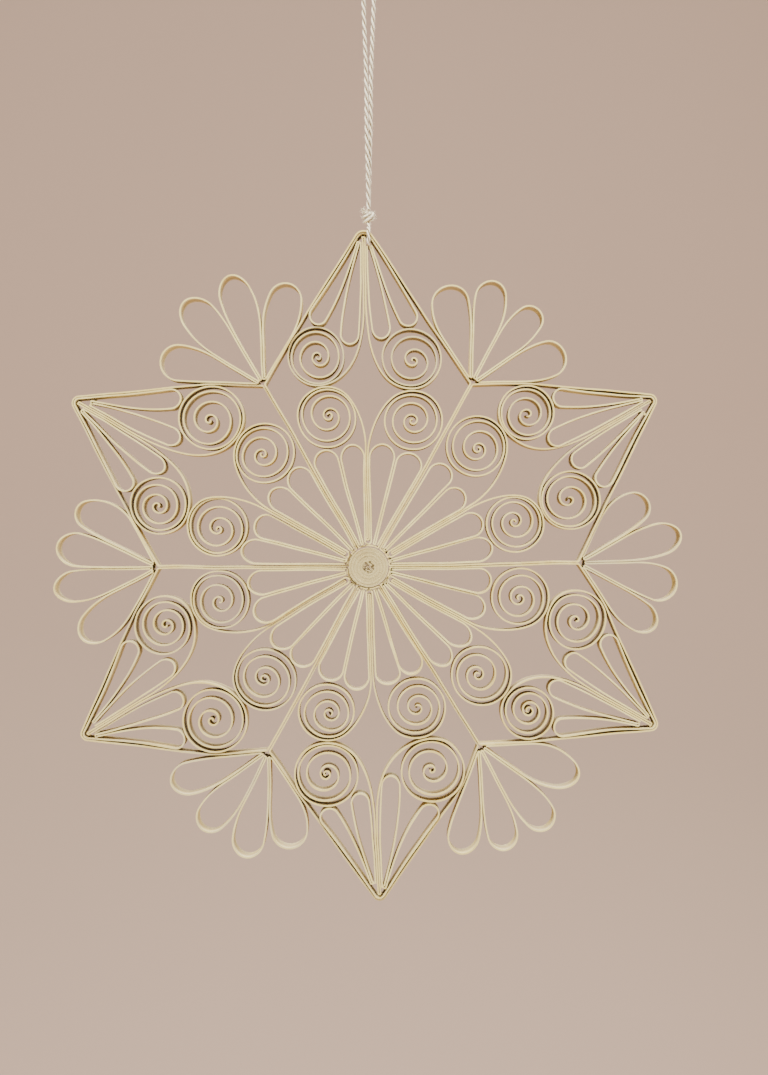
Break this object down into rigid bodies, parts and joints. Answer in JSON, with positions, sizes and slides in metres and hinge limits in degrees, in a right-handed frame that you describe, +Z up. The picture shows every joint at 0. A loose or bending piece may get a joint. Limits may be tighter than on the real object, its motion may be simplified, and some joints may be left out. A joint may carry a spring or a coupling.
{
  "type": "quilled paper ornament",
  "caption": "Flat star of rolled and folded paper strips with coils and looped fans round a tight roll, hung on a twisted thread loop.",
  "frame": {"origin": "under the crown of the thread loop, where whatever holds the ornament up bears", "axes": "+Z up along the hanging thread, +Y through the ornament from front to back, +X to the right seen from the front"},
  "size_m": [0.1874, 0.011, 0.2825],
  "materials": {
    "cream_paper": "matte",
    "pale_paper": "matte",
    "cotton_thread": "matte"
  },
  "bodies": {
    "root": {"point_1_frame": "cream_paper", "point_1_petals": "pale_paper", "point_1_teardrops": "pale_paper", "point_1_hub_scroll": "cream_paper", "point_1_tip_scroll": "cream_paper", "fan_1": "pale_paper", "point_2_frame": "cream_paper", "point_2_petals": "pale_paper", "point_2_teardrops": "pale_paper", "point_2_hub_scroll": "cream_paper", "point_2_tip_scroll": "cream_paper", "fan_2": "pale_paper", "point_3_frame": "cream_paper", "point_3_petals": "pale_paper", "point_3_teardrops": "pale_paper", "point_3_hub_scroll": "cream_paper", "point_3_tip_scroll": "cream_paper", "fan_3": "pale_paper", "point_4_frame": "cream_paper", "point_4_petals": "pale_paper", "point_4_teardrops": "pale_paper", "point_4_hub_scroll": "cream_paper", "point_4_tip_scroll": "cream_paper", "fan_4": "pale_paper", "point_5_frame": "cream_paper", "point_5_petals": "pale_paper", "point_5_teardrops": "pale_paper", "point_5_hub_scroll": "cream_paper", "point_5_tip_scroll": "cream_paper", "fan_5": "pale_paper", "point_6_frame": "cream_paper", "point_6_petals": "pale_paper", "point_6_teardrops": "pale_paper", "point_6_hub_scroll": "cream_paper", "point_6_tip_scroll": "cream_paper", "fan_6": "pale_paper", "hub_roll": "cream_paper", "hanging_loop": "cotton_thread", "tie_thread": "cotton_thread", "thread_knot": "cotton_thread"}
  },
  "joints": []
}
